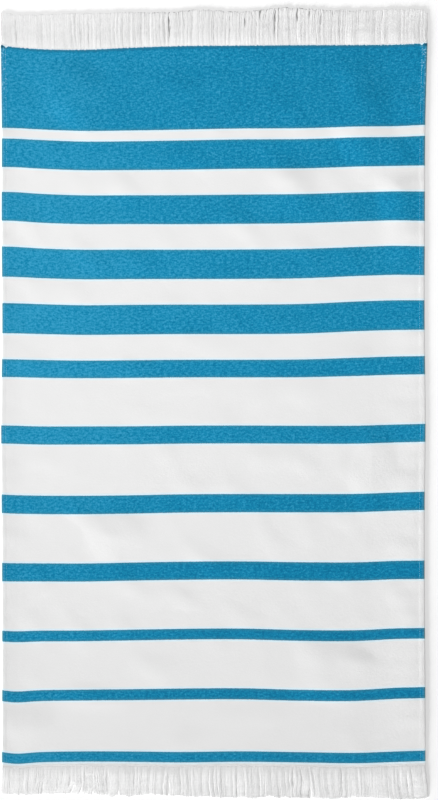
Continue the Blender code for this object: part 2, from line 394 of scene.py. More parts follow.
# %% One stitch
STITCH_PITCH = 4.0 * MM
STITCH_LENGTH = 2.7 * MM
THREAD_RADIUS = 0.2 * MM
THREAD_THICKER = (0.85, 1.25)
STITCH_STEPS = 5
STITCH_ARCH = 0.36 * MM
STITCH_RISE = 0.7  # the share of the arch that is above the cloth, the rest being its bent ends
STITCH_SUNK = {"left": (0.24 * MM, 0.4 * MM), "right": (0.14 * MM, 0.38 * MM)}
STITCH_STRAY = 0.15 * MM
STITCH_LONGER = 0.1
STITCH_TURN = 0.12
LOOSE_STITCHES = 0.1
STITCH_SEED = 31


def bar(name, sides, steps, tip=1.0):
    """A closed round bar along z, one unit long and one unit in radius, cut into equal steps."""
    select_only()
    bpy.ops.mesh.primitive_cylinder_add(vertices=sides, radius=1, depth=1, location=(0, 0, 0.5))
    obj = bpy.context.object
    obj.name = name
    bpy.ops.object.transform_apply(location=True, rotation=False, scale=False)
    bpy.ops.object.mode_set(mode="EDIT")
    cut_lines([i / steps for i in range(1, steps)], (0, 0, 1))
    bpy.ops.mesh.select_all(action="DESELECT")
    bpy.ops.object.mode_set(mode="OBJECT")
    for point in obj.data.vertices:
        point.select = point.co.z > 1 - 0.5 / steps
    bpy.ops.object.mode_set(mode="EDIT")
    bpy.ops.transform.resize(value=(tip, tip, 1), center_override=(0, 0, 1))
    close_mesh()
    return obj


def copies(name, model, placed):
    """One mesh that holds a copy of the model for each row of placed points."""
    count = len(model.data.vertices)
    faces = [face.vertices for face in model.data.polygons]
    all_faces = [tuple(i * count + v for v in face) for i in range(len(placed)) for face in faces]
    mesh = bpy.data.meshes.new(name)
    mesh.from_pydata(placed.reshape(-1, 3).tolist(), [], all_faces)
    obj = bpy.data.objects.new(name, mesh)
    bpy.context.scene.collection.objects.link(obj)
    return obj


one_stitch = bar("one_stitch", 6, STITCH_STEPS)
print("one stitch has", count_triangles(one_stitch), "triangles")

# %% Sew both hems


def sewn_row(side_name, above, random):
    """The points of one row of stitches, [stitch][point] = (x, y, z), and their flat places."""
    inset_from_left = STITCH_INSET if side_name == "left" else TOWEL_WIDTH - STITCH_INSET
    side, up, lengthwise = points_of(one_stitch).T
    starts = np.arange(STITCH_PITCH, CLOTH_LENGTH - STITCH_PITCH, STITCH_PITCH)[:, None]
    starts = starts + random.normal(0, STITCH_STRAY, starts.shape)
    longer = random.normal(1, STITCH_LONGER, starts.shape)
    turned = random.normal(0, STITCH_TURN, starts.shape)
    thick = THREAD_RADIUS * random.uniform(*THREAD_THICKER, starts.shape)
    ahead = (lengthwise - 0.5) * STITCH_LENGTH * longer
    across = inset_from_left + side * thick + ahead * turned
    along = starts + ahead
    sunk = random.uniform(*STITCH_SUNK[side_name], starts.shape)
    sunk = np.where(random.uniform(0, 1, starts.shape) < LOOSE_STITCHES, 0, sunk)
    arch = STITCH_ARCH * (STITCH_RISE - (2 * lengthwise - 1) ** 4) - sunk
    shape = across.shape
    base = underside_height(across.ravel(), along.ravel()).reshape(shape)
    underside, top = (part.reshape(shape) for part in hem_section(
        np.full(across.size, inset_from_left), along.ravel()))
    z = base + (top + arch if above else underside - arch) + up * thick
    x, y = (part.reshape(shape) for part in floor_place(across.ravel(), along.ravel()))
    return np.stack((x, y, np.maximum(z, 0)), axis=2), np.stack((across, along, 0 * along), axis=2) / MM


random = np.random.default_rng(STITCH_SEED)
rows = [sewn_row(side, above, random) for side in ("left", "right") for above in (True, False)]
placed, flat_places = (np.concatenate(parts) for parts in zip(*rows))
hem_stitches = copies("hem_stitches", one_stitch, placed)
keep_attribute(hem_stitches, FLAT_PLACE, "FLOAT_VECTOR", flat_places)
bpy.data.objects.remove(one_stitch)
print("the hems have", len(placed), "stitches,", count_triangles(hem_stitches), "triangles")

# %% [markdown]
# ## The fringes' locks
# Off the loom the warp ends are left loose, and their yarns cling together in locks. The model's solids
# have 112 locks at each end, with their lengths, their lean and the partings between them. The yarns
# here follow the same tables and the same seeded draws, so each bunch of yarns lies where its solid lock
# lies.

# %% The locks' tables
CLOTH_ENDS = {"head": (0.0, -1), "foot": (CLOTH_LENGTH, 1)}  # its place along, and which way is out
HEADING_DEPTH = 6.0 * MM
YARN_STEPS = 12
YARN_SHARES = np.linspace(0, 1, YARN_STEPS + 1)  # of the length, at each step from root to tip
LOCKS_AT_EACH_END = 112
LOCK_SHARE = 0.84
LOCK_TIP_SHARE = 0.88
LOCK_GAP = 0.6 * MM
RAGGED_ENDS = 1.2 * MM
LOCK_SWAY = 2.2 * MM
LEAN_POWER = 1.5
FRINGE_STATIONS = (0, 80, 165, 250, 335, 420, 507, 592, 677, 763, 838, 900)
FRINGE_LENGTHS = {
    "head": (60, 65, 70, 68.5, 64.5, 68, 64, 71, 67.5, 65, 68, 64),
    "foot": (55, 56, 57, 61.5, 58, 63, 64.5, 64.5, 64, 61.5, 68, 69),
}
FRINGE_LEANS = {
    "head": (0, -1, -3, -2, 0, 1, 2, 1, 0, 2, 2, 1),
    "foot": (-3, -3, -4, -3, -1, 1, 2, 3, 4, 4, 5, 7),
}
PARTINGS = {  # across, width, shares of the length where it starts, is widest and ends
    "head": (
        (163, 3.0, 0.72, 0.95, 1.2),
        (355, 3.6, 0.10, 0.60, 1.2),
        (372, 3.2, 0.40, 0.70, 1.2),
        (515, 4.2, 0.35, 0.70, 1.2),
        (545, 5.0, 0.70, 1.00, 1.2),
        (576, 4.6, 0.05, 0.75, 1.2),
        (630, 4.0, 0.40, 0.75, 1.1),
        (648, 6.0, 0.45, 0.90, 1.2),
        (672, 3.8, 0.40, 0.70, 1.1),
        (884, 5.0, 0.05, 0.55, 1.1),
    ),
    "foot": (
        (70, 3.4, 0.20, 0.45, 0.70),
        (90, 3.4, 0.40, 0.75, 1.2),
        (142, 3.0, 0.30, 0.60, 0.85),
        (152, 4.4, 0.45, 0.90, 1.2),
        (166, 4.6, 0.70, 1.00, 1.2),
        (196, 5.0, 0.75, 1.00, 1.2),
        (226, 3.8, 0.05, 0.35, 0.75),
        (249, 4.0, 0.75, 1.00, 1.2),
        (356, 4.6, 0.25, 0.75, 1.2),
        (620, 5.0, 0.02, 0.40, 0.75),
        (649, 5.2, 0.50, 0.85, 1.2),
    ),
}
PARTING_REACH = 22 * MM
LOCK_SEEDS = {"head": 11, "foot": 23}


def parting_push(end, across, share):
    """How far the partings push each lock sideways, at a share of its length."""
    push = np.zeros_like(across)
    for middle, width, starts, widest, ends in PARTINGS[end]:
        opened = np.interp(share, (starts, widest, ends), (0, 1, 0))
        away = across - middle * MM
        push += np.sign(away) * np.exp(-np.abs(away) / PARTING_REACH) * opened * width * MM / 2
    return push


def set_apart(middles, width):
    """Moves locks that would touch, from the middle of the fringe outwards, until a gap stays."""
    placed = middles.copy()
    pitch = width + LOCK_GAP
    half = len(placed) // 2
    for i in range(half + 1, len(placed)):
        placed[i] = max(placed[i], placed[i - 1] + pitch)
    for i in range(half - 1, -1, -1):
        placed[i] = min(placed[i], placed[i + 1] - pitch)
    return placed


def lock_paths(end, opened):
    """The locks' lengths, and their middles at each step, with the partings opened so far."""
    random = np.random.default_rng(LOCK_SEEDS[end])
    pitch = TOWEL_WIDTH / LOCKS_AT_EACH_END
    across = (np.arange(LOCKS_AT_EACH_END) + 0.5) * pitch
    lengths = smooth_curve(FRINGE_STATIONS, FRINGE_LENGTHS[end], across)
    lengths += random.normal(0, RAGGED_ENDS, len(across))
    leans = smooth_curve(FRINGE_STATIONS, FRINGE_LEANS[end], across)
    sways = random.normal(0, LOCK_SWAY, (2, len(across)))
    sways[:, 1:-1] = (sways[:, :-2] + sways[:, 1:-1] + sways[:, 2:]) / 3
    middles = []
    for share in YARN_SHARES:
        width = pitch * LOCK_SHARE * (1 - (1 - LOCK_TIP_SHARE) * share)
        sway = sways[0] * math.sin(math.pi * share) + sways[1] * share**2
        placed = across + leans * share**LEAN_POWER + sway
        placed += opened * parting_push(end, across, share)
        middles.append(set_apart(placed, width) if share else across)
    return lengths, np.array(middles).T


print("a lock is", round(TOWEL_WIDTH / LOCKS_AT_EACH_END / MM, 2), "mm from its neighbour")

# %% [markdown]
# ## Clumps of locks
# Neighbouring locks cling together in clumps. A clump leans and wavers as one, with a low ridge along
# its middle, and between two clumps runs a faint valley. A clump starts at each parting, and elsewhere a
# seeded draw says where.

# %% Which locks cling together
CLUMP_CHANCE = 0.6


def clumps(end, middles):
    """Each lock's clump: its number, its path, its middle and its size counted in locks."""
    random = np.random.default_rng(LOCK_SEEDS[end])
    starts = random.uniform(0, 1, len(middles)) < CLUMP_CHANCE
    starts[np.searchsorted(middles[:, 0], [row[0] * MM for row in PARTINGS[end]])] = True
    number = np.cumsum(starts) - int(starts[0])
    members = [np.flatnonzero(number == one) for one in number]
    paths = np.array([middles[group].mean(axis=0) for group in members])
    centres = np.array([(group[0] + group[-1]) / 2 for group in members])
    sizes = np.array([len(group) for group in members])
    return number, paths, centres, sizes


# %% [markdown]
# ## Where the yarns run
# Each lock holds twelve yarns in two layers, six on the floor and six on them. Every yarn is followed
# from its root to its tip in equal steps. At each step it is beside its neighbours in the lock, moved
# with its clump, and a little astray by itself. At the right side the corners of the fringes are round.

# %% Each yarn's way across and along
YARNS_IN_LAYER = 6
YARN_SHIFT = 0.02  # of a lock's pitch
YARN_RAGGED = 0.5 * MM
YARN_STRAY = 0.3 * MM
LAYER_LONGER = {"below": 0.9 * MM, "above": 0.5 * MM}
# At the head the lower yarns stay closed, so their painted shade fills the partings as dark lines
PARTED = {  # how far each layer opens the partings, times their width in the table
    "head": {"below": 0.0, "above": 1.5},
    "foot": {"below": 2.0, "above": 2.0},
}
CLUMP_HOLD = 0.85
CLUMP_SPREAD = 1.1 * MM
CLUMP_WAVER = 0.5 * MM
CLUMP_WAVER_LENGTHS = (14 * MM, 34 * MM)
ROUND_CORNER = {"head": (18 * MM, 10 * MM), "foot": (10 * MM, 3 * MM)}  # its width and its height
ROOT_INSIDE = {
    "head": {"below": 2.5 * MM, "above": 6.0 * MM},
    "foot": {"below": 2.5 * MM, "above": 1.5 * MM},
}
ROOT_RAGGED = 0.6 * MM
CORNER_WIDTH = 7 * MM
CORNER_ROOTS = ((0.8, 1.2), (0.5, 1.0))  # corners' widths from the side, and the share of ROOT_INSIDE


def by_share(share):
    """How far a change has come at each step of a yarn, if it is complete at this share."""
    return np.minimum(YARN_SHARES / share, 1)


def for_each_clump(random, lowest, highest, number):
    """One draw for each clump, handed to all its yarns."""
    return random.uniform(lowest, highest, number.max() + 1)[number][:, None]


def from_corner(root):
    """How far a yarn's root is from the nearer side, counted in corners' widths."""
    return np.minimum(root, TOWEL_WIDTH - root) / CORNER_WIDTH


def yarn_paths(end, layer, random):
    """The yarns' lengths, their places across, and their places in their clumps and clumps' numbers."""
    locks = np.repeat(np.arange(LOCKS_AT_EACH_END), YARNS_IN_LAYER)
    in_lock = np.tile((np.arange(YARNS_IN_LAYER) + 0.5) / YARNS_IN_LAYER - 0.5, LOCKS_AT_EACH_END)
    in_lock = in_lock + random.normal(0, YARN_SHIFT, len(locks))
    lengths, middles = lock_paths(end, PARTED[end][layer])
    closed = lock_paths(end, 0.0)[1]
    number, clump_paths, centres, sizes = clumps(end, closed)
    own, shared = (part - part[:, :1] for part in (closed, clump_paths))
    together = middles + (shared - own) * CLUMP_HOLD
    paths = together[locks] + in_lock[:, None] * TOWEL_WIDTH / LOCKS_AT_EACH_END
    in_clump = (locks + in_lock - centres[locks]) / sizes[locks]
    paths += CLUMP_SPREAD * in_clump[:, None] * by_share(1 / 3)
    lengths = np.interp(locks + in_lock, np.arange(LOCKS_AT_EACH_END), lengths)
    width, height = ROUND_CORNER[end]
    lengths -= height * np.clip(1 - (TOWEL_WIDTH - paths[:, 0]) / width, 0, 1) ** 2
    lengths += random.normal(LAYER_LONGER[layer], YARN_RAGGED, len(lengths))
    return lengths, paths, in_clump, number[locks]


def wandering(reach, number, random):
    """How far each yarn wavers with its clump and strays by itself."""
    waver_length = for_each_clump(random, *CLUMP_WAVER_LENGTHS, number)
    start = for_each_clump(random, 0, 2 * math.pi, number)
    waver = CLUMP_WAVER * np.sin(2 * math.pi * reach / waver_length + start)
    stray = random.normal(0, YARN_STRAY, (len(reach), 1)) * YARN_SHARES**LEAN_POWER
    return stray + waver * by_share(1 / 2)


def places_along(end, layer, reach, root, random):
    """How far along the cloth each yarn is at each step. Its root is hidden in the heading."""
    inside = random.normal(ROOT_INSIDE[end][layer], ROOT_RAGGED, len(root))
    inside *= np.interp(from_corner(root), *CORNER_ROOTS)
    past_heading = reach - inside[:, None] * (1 - YARN_SHARES) ** 6
    at_end, outwards = CLOTH_ENDS[end]
    return at_end + outwards * (HEADING_DEPTH + past_heading)


# %% [markdown]
# ## How high the yarns lie
# The yarns set out at the heading's height, which follows the cloth's hems and swells, and come down to
# the floor. The upper ones lie on the lower ones, bow up a little and droop towards their tips. The
# fringe is calmer at the left, where the clumps' ridges are lower.

# %% Each yarn's height
ROOT_HEIGHT = {"below": 0.8 * MM, "above": 1.2 * MM}
LAYER_HEIGHT = {"below": 0.46 * MM, "above": 1.3 * MM}
CLUMP_RIDGE = 0.4 * MM
CLUMP_BOW = (0.1 * MM, 0.5 * MM)
BOW_POWER = 0.7  # below 1 the bow is highest nearer to the root
TIP_DROOP = {"head": (0.4, 0.4), "foot": (0.4, 0.72)}  # left of DROOP_FROM and at the right side
DROOP_FROM = 675 * MM
DROOP_POWER = 1.5
CALM_LEFT = 0.4
CALM_WIDTH = 270 * MM


def markedness(root):
    """How marked the clumps are at a yarn's root, from CALM_LEFT at the left side to 1."""
    return np.interp(root, (0, CALM_WIDTH), (CALM_LEFT, 1))


def yarn_heights(end, layer, root, in_clump, bow):
    """How high the middle of each yarn is at each step."""
    height = np.full((len(root), len(YARN_SHARES)), LAYER_HEIGHT[layer])
    if layer == "above":
        ridge = CLUMP_RIDGE * markedness(root) * (1 - (2 * in_clump) ** 2)
        height += ridge[:, None] * by_share(1 / 4)
        height += bow * np.sin(math.pi * YARN_SHARES**BOW_POWER)
        droop = np.interp(root, (DROOP_FROM, TOWEL_WIDTH), TIP_DROOP[end])
        height *= 1 - droop[:, None] * YARN_SHARES**DROOP_POWER
    height[:, 0] = ROOT_HEIGHT[layer]
    at_end = np.full(len(root), CLOTH_ENDS[end][0])
    lift = hem_section(root, at_end)[1] + underside_height(root, at_end) - CLOTH_THICK
    return height + lift[:, None] * (1 - YARN_SHARES) ** 2


# %% [markdown]
# ## How white the yarns are
# No two yarns are the same white, and shade is painted on them as well: in the valleys between clumps,
# at the sides, on the lower yarns, which lie under the upper ones, and at the head's roots, which lie in
# the cloth edge's shade. The foot's upper yarns are a little darker towards their tips. Deep in the head's
# partings hardly any light arrives, so dark shade is painted on the lower yarns' upper sides there, and
# their undersides stay white. Each point keeps its tone, painted shade and all, as an attribute: 1 is
# white.

# %% Each yarn's tones
# painted shade: lower yarns lie under upper ones, head roots in the cloth edge's shade; foot tips darker
LAYER_SHADE_TONE = {  # at the root and at the tip
    "head": {"below": (0.0, 0.0), "above": (0.78, 1.0)},
    "foot": {"below": (0.75, 0.65), "above": (1.0, 0.86)},
}
# how much less painted shade the head's lower yarns get, outside the middle of the fringe
LOWER_LESS_SHADED = {  # places across in millimetres, and how much paler the lower yarns are there
    "head": ((240, 330, 690, 800), (0.8, 0.0, 0.0, 0.85)),
    "foot": ((0, 900), (0.0, 0.0)),
}
# the lower yarns' undersides get none of the painted shade
UNDERNEATH = (-0.8, 0.0)  # from wholly white to not at all, on a yarn that reaches from -1 up to 1
CLUMP_TONES = 0.05
YARN_TONES = 0.02
# painted shade in the valleys between clumps and on the yarns at the fringe's sides
VALLEY_SHADE = 0.18
SIDE_SHADE = 0.15


def yarn_tones_and_shade(end, layer, model, root, in_clump, number, random):
    """How white each point of each yarn is, with the shade painted on it."""
    tone = for_each_clump(random, -CLUMP_TONES, CLUMP_TONES, number)[:, 0] * markedness(root)
    # painted shade on the yarns at the fringe's sides
    tone -= SIDE_SHADE * np.clip(1 - 2 * from_corner(root), 0, 1)
    tone += random.uniform(-YARN_TONES, YARN_TONES, len(root))
    # painted shade in the valleys between clumps
    tone -= VALLEY_SHADE * markedness(root) * np.minimum(np.abs(2 * in_clump), 1) ** 3
    up, share = model[:, 1], model[:, 2]
    tones = tone[:, None] + np.interp(share, (0, 1), LAYER_SHADE_TONE[end][layer])
    # painted shade on the lower yarns' upper sides, less at the head's sides and none underneath
    if layer == "below":
        tones += np.interp(root / MM, *LOWER_LESS_SHADED[end])[:, None] + np.interp(up, UNDERNEATH, (1, 0))
    return tones


# %% [markdown]
# ## One yarn, copied
# One yarn is modelled: a soft five-sided bar, wider than it is high, and cut into steps so that it can
# wander. Each copy's points are placed round the yarn's way at their own step. Thousands of yarns stay
# cheap because each has only a few dozen faces, and all of one fringe are one mesh.

# %% One yarn, and a layer full of them
YARN_SIDES = 5
YARN_TIP = 0.85
YARN_RADIUS = 0.84 * MM
YARN_THICKER = (0.9, 1.1)
YARN_FLATNESS = 0.55


def yarn_layer(end, layer, model, random):
    """The points of each yarn of one layer, their places on their own yarn, and their tones."""
    side, up, share = model.T
    steps = np.round(share * YARN_STEPS).astype(int)
    lengths, paths, in_clump, number = yarn_paths(end, layer, random)
    reach = YARN_SHARES * lengths[:, None]
    root = paths[:, 0]
    paths = paths + wandering(reach, number, random)
    radius = YARN_RADIUS * random.uniform(*YARN_THICKER, (len(root), 1))
    bow = for_each_clump(random, *CLUMP_BOW, number)
    height = yarn_heights(end, layer, root, in_clump, bow)
    along = places_along(end, layer, reach, root, random)
    across = paths[:, steps] + side * radius
    x, y = (part.reshape(across.shape) for part in floor_place(across.ravel(), along[:, steps].ravel()))
    z = np.maximum(height[:, steps] + up * radius * YARN_FLATNESS, 0)
    on_yarn = np.stack(np.broadcast_arrays(side, up, reach[:, steps] / MM), axis=2)
    tones = yarn_tones_and_shade(end, layer, model, root, in_clump, number, random)
    return np.stack((x, y, z), axis=2), on_yarn, tones


yarn_model = bar("yarn_model", YARN_SIDES, YARN_STEPS, YARN_TIP)
print("one yarn has", count_triangles(yarn_model), "triangles")

# %% [markdown]
# The heading is the last strip of plain weave, which holds the yarns. It is laid by the same tables as
# the cloth, tucked a hair under the cloth's end, and it thins towards the yarns that come out of it.
# Heading and yarns are joined, as the solid that they stand for is one piece.

# %% Headings with their fringes
TUCK = 0.4 * MM
TUCKED_HEIGHT = 0.85
HEADING_FALL = 0.25
HEADING_STEPS = 4
YARN_SEEDS = {"head": 41, "foot": 43}
YARN_PLACE = "yarn_place"
# each yarn point's own white, with the shade painted on it
YARN_TONE_AND_SHADE = "yarn_tone_and_shade"


def heading_slope(end):
    """How the heading's top falls from the cloth's end towards the yarns."""
    def slope(along):
        past = np.abs(along - CLOTH_ENDS[end][0]) / HEADING_DEPTH
        tucked = (along > 0) & (along < CLOTH_LENGTH)
        return np.where(tucked, TUCKED_HEIGHT, 1.0 - HEADING_FALL * past**2)
    return slope


def make_fringe(end):
    """The heading strip and all yarns of one end, as one mesh with two finishes."""
    at_end, outwards = CLOTH_ENDS[end]
    along = sorted((at_end - outwards * TUCK, at_end + outwards * HEADING_DEPTH))
    steps = (round(TOWEL_WIDTH / PANEL_STEP), HEADING_STEPS)
    heading = flat_panel("heading_" + end, edge_to_edge, along, steps, hem_cuts)
    lay_panel(heading, heading_slope(end))
    random = np.random.default_rng(YARN_SEEDS[end])
    layers = [yarn_layer(end, layer, points_of(yarn_model), random) for layer in ("below", "above")]
    points, on_yarn, tones = (np.concatenate(parts) for parts in zip(*layers))
    yarns = copies("yarns_" + end, yarn_model, points)
    keep_attribute(yarns, YARN_PLACE, "FLOAT_VECTOR", on_yarn)
    keep_attribute(yarns, YARN_TONE_AND_SHADE, "FLOAT", tones)
    return heading, yarns


fringe_parts = {end: make_fringe(end) for end in ("head", "foot")}
bpy.data.objects.remove(yarn_model)
for end, (heading, yarns) in fringe_parts.items():
    print("the", end, "fringe has", count_triangles(heading) + count_triangles(yarns), "triangles")

# %% [markdown]
# ## Writing finishes as sums
# A material in Blender is a net of small nodes. Written out one by one, even a stripe takes a page. So
# one small class wraps a node's socket: adding, multiplying or comparing such values makes the Math
# nodes, and one method makes every other node. A finish then reads like a formula.

# %% A socket that can be reckoned with


class Shade:
    """A value in a material's nodes. Arithmetic on it adds the Math nodes for the sum."""

    def __init__(self, tree, socket=None):
        self.tree = tree
        self.socket = socket

    def node(self, kind, settings=None, inputs=None, output=0):
        """Adds a node: its settings come first, then the values or links of its sockets."""
        made = self.tree.nodes.new("ShaderNode" + kind)
        for name, value in (settings or {}).items():
            setattr(made, name, value)
        for name, value in (inputs or {}).items():
            if isinstance(value, Shade):
                self.tree.links.new(value.socket, made.inputs[name])
            else:
                made.inputs[name].default_value = value
        return Shade(self.tree, made.outputs[output])

    def maths(self, operation, *values):
        """One Math node."""
        return self.node("Math", {"operation": operation}, dict(enumerate(values)))

    def part(self, axis):
        """The X, Y or Z of a place."""
        return self.node("SeparateXYZ", {}, {0: self}, axis)

    def __add__(self, other):
        return self.maths("ADD", self, other)

    def __sub__(self, other):
        return self.maths("SUBTRACT", self, other)

    def __rsub__(self, other):
        return self.maths("SUBTRACT", other, self)

    def __mul__(self, other):
        return self.maths("MULTIPLY", self, other)

    def __truediv__(self, other):
        return self.maths("DIVIDE", self, other)

    def __lt__(self, other):
        return self.maths("LESS_THAN", self, other)

    __radd__ = __add__
    __rmul__ = __mul__

    def __abs__(self):
        return self.maths("ABSOLUTE", self)

    def clamped(self):
        """The value kept between 0 and 1."""
        return self.node("Clamp", {}, {"Value": self})

    def fading(self, start, end):
        """1 below start, 0 beyond end, and a soft way between."""
        settings = {"interpolation_type": "SMOOTHSTEP"}
        inputs = {"Value": self, "From Min": start, "From Max": end, "To Min": 1.0, "To Max": 0.0}
        return self.node("MapRange", settings, inputs)

    def unevenness(self, width, height, detail, seed):
        """Noise on a flat place, from -0.5 to 0.5, whose spots have this width and height."""
        scaled = self.node(
            "VectorMath", {"operation": "MULTIPLY"}, {0: self, 1: (1 / width, 1 / height, 0)}
        )
        inputs = {"Vector": scaled, "Scale": 1.0, "Detail": detail, "W": seed}
        return self.node("TexNoise", {"noise_dimensions": "4D"}, inputs) - 0.5

    def raised(self, strength, distance, **under):
        """The normals of a surface that this height is raised on, with a Bump node."""
        inputs = {"Strength": strength, "Distance": distance, "Height": self, **under}
        return self.node("Bump", {}, inputs)

    def mixed(self, other, factor):
        """This colour turned into the other one by the factor."""
        inputs = {0: factor, 6: self, 7: other}
        return self.node("Mix", {"data_type": "RGBA", "blend_type": "MIX"}, inputs, 2)


def colour(shade, rgb):
    """A plain colour to start a mix from."""
    made = shade.node("RGB")
    made.socket.default_value = (*rgb, 1)
    return made


def kept_at(shade, name, output):
    """What was stored at each point of the mesh under this name."""
    return shade.node("Attribute", {"attribute_name": name}, output=output)


def new_finish(name):
    """A new material with its main shader, and a Shade to build its nodes with."""
    material = bpy.data.materials.new(name)
    material.use_nodes = True
    shader = material.node_tree.nodes["Principled BSDF"]
    return material, shader, Shade(material.node_tree)


def give(shader, **sockets):
    """Links or sets the main shader's sockets, with spaces in their names as underscores."""
    for name, value in sockets.items():
        socket = shader.inputs[name.replace("_", " ")]
        if isinstance(value, Shade):
            value.tree.links.new(value.socket, socket)
        else:
            socket.default_value = value


# %% [markdown]
# ## Striped cotton
# Twelve blue bands cross the white cloth, wide ones near the head and narrow ones near the foot. Every
# band is a pair of numbers along the cloth, so a band is where the distance to its middle is less than
# half its width. The blue yarn is mottled: it was spun from lighter and darker fibres, which shows as
# short flecks along the weft, over a slower drift. Painted sheen makes the blue lighter to the left and a
# little darker to the right. A band is a little greener along its edges, and a trace of the dye has bled
# into the white beside it. At the folded sides the dye is worn in pale dots, and painted shade darkens the
# blue towards the outer edge, where the fold turns down. At the head's corners the hem's end is navy,
# partly from its folded layers and partly painted shade, and the stitches draw the band in by a small
# notch. The head's heading gets painted shade, as the cloth's edge shades it.

# %% The cotton's finish
BANDS = (  # start and end along the cloth, in millimetres, and how much lighter its blue is
    (1.2, 176.6, -0.03),
    (199.5, 261.5, 0.0),
    (315.6, 377.5, 0.02),
    (432.0, 494.8, 0.04),
    (549.5, 612.8, 0.04),
    (668.1, 706.2, 0.0),
    (809.9, 848.4, 0.01),
    (956.2, 995.4, -0.10),
    (1101.0, 1140.0, -0.17),
    (1244.8, 1267.9, -0.18),
    (1371.9, 1395.5, -0.20),
    (1505.6, 1527.9, -0.06),
)
WHITE_WARP = (0.75, 0.75, 0.75)
BLED_WHITE = (0.60, 0.80, 0.90)
# the bands' greener edges, and the painted shade along the cloth's outer edge
EDGE_TEAL_AND_SHADE = (0.05, 0.22, 0.27)
# the head's heading with painted shade, as the cloth's edge shades it
HEADING_SHADED_WHITE = (0.68, 0.68, 0.68)
BLUE_LIGHT = (0.032, 0.305, 0.508)
BLUE_MIDDLE = (0.005, 0.224, 0.404)
BLUE_DARK = (0.001, 0.150, 0.300)
# the hem's folded end at the head's corners: its deeper blue and painted shade
CORNER_NAVY_AND_SHADE = (0.004, 0.080, 0.138)
PALE_BLUE = (0.30, 0.55, 0.70)
FLECKS = (8.0, 4.4, 2.0, 7.0)  # a spot's width and height in millimetres, its detail, and a seed
SPECKS = (3.6, 3.2, 1.0, 11.0)
DRIFT = (70.0, 45.0, 2.0, 13.0)
TEETH = (3.0, 300.0, 1.0, 17.0)
TATTERS = (4.5, 300.0, 1.0, 29.0)
COCKLES = (5.0, 4.0, 1.5, 19.0)
WANDER = (9.0, 9.0, 2.0, 3.0)
PICK_PITCH = 0.9
WARP_PITCH = 1.1
MATT_COTTON = {"Roughness": 0.92, "Specular_IOR_Level": 0.12}


def bands(along):
    """How far a place is past the nearest band's edge, below 0 inside it, and its band's lightness."""
    edges = [abs(along - (start + end) / 2) - (end - start) / 2 for start, end, _ in BANDS]
    past = edges[0]
    for edge in edges[1:]:
        past = past.maths("MINIMUM", past, edge)
    lightness = 0
    for edge, (_, _, lighter) in zip(edges, BANDS):
        lightness = (edge < 0) * lighter + lightness
    return past, lightness


def woven_relief(across, along, flat):
    """The height of a plain weave, its picks side by side and the warp over every other one."""
    wander = flat.unevenness(*WANDER) * 1.4
    pick = (along + wander) / PICK_PITCH
    ridge = abs(pick.maths("SINE", pick * math.pi))
    half_turns = (across + wander) / WARP_PITCH + pick.maths("FLOOR", pick)
    over = pick.maths("SINE", half_turns * math.pi)
    return ridge * (over * 0.3 + 0.7)


def head_corners(inset, along, flat):
    """How far the first band is drawn towards the head: out at the hems, and in at their stitches."""
    folded = inset.fading(5.0, 8.0) * 0.3
    pulled = abs(inset - 11.0).fading(0.5, 4.0) * 4.0
    ragged = flat.unevenness(*TATTERS) * 6.0
    return along.fading(7.0, 14.0) * (folded - pulled + ragged)


def mottled_blue(shade, mottle, across, along, inset, past):
    """The blue weft, with painted sheen to the left, darker at its bands' edges, the sides and the head.
    """
    # painted sheen and shade: the blue is lighter to the left and a little darker to the right
    painted_sheen_and_shade = across.fading(0, 480) * 0.2 + across.fading(450, 900) * 0.06 - 0.06
    tone = 0.5 + mottle + painted_sheen_and_shade
    # painted shade: the blue darkens over the last 4 mm towards the sides, where the fold turns down
    tone = tone - (0 - past).fading(0.0, 2.4) * 0.1 - inset.fading(1.0, 4.0) * 0.2
    tone = tone - along.fading(4.0, 9.0) * 0.7
    blue = colour(shade, BLUE_DARK).mixed(colour(shade, BLUE_MIDDLE), (tone * 2).clamped())
    return blue.mixed(colour(shade, BLUE_LIGHT), (tone * 2 - 1).clamped())


def worn_blue(shade, blue, specks, flecks, along, inset, past):
    """Greener band edges, pale dots on the folds, and painted shade on the outer edge and navy corners."""
    # the bands' edges turn greener, and painted shade darkens the outermost 2.6 mm, where the fold rounds
    # down
    teal_rim_and_edge_shade = (0 - past).fading(0.0, 8.0) * 0.45 + inset.fading(0.2, 2.6) * 0.9
    blue = blue.mixed(colour(shade, EDGE_TEAL_AND_SHADE), teal_rim_and_edge_shade.clamped())
    worn = inset.fading(2.0, 7.0) * (1 - inset.fading(0.2, 1.6)) * (0.12 + specks * 0.4)
    frayed = ((specks + flecks) * 10 - 1.2).clamped() * inset.fading(6, 16) * along.fading(40, 170)
    blue = blue.mixed(colour(shade, PALE_BLUE), (worn + frayed * 0.85).clamped())
    # painted shade, with the folded layers' deeper blue: the hem's ends at the head's corners turn navy
    navy_and_shaded_corner = inset.fading(4.0, 7.0) * along.fading(5.0, 8.5)
    return blue.mixed(colour(shade, CORNER_NAVY_AND_SHADE), navy_and_shaded_corner * 0.9)


def plain_white(shade, along, past):
    """The white warp, with a trace of dye beside the bands, and painted shade on the head's heading."""
    white = colour(shade, WHITE_WARP).mixed(colour(shade, BLED_WHITE), past.fading(1.0, 6.0) * 0.84)
    # painted shade: the head's heading lies in the shade of the cloth's edge
    return white.mixed(colour(shade, HEADING_SHADED_WHITE), along.fading(-1.0, 0.5))


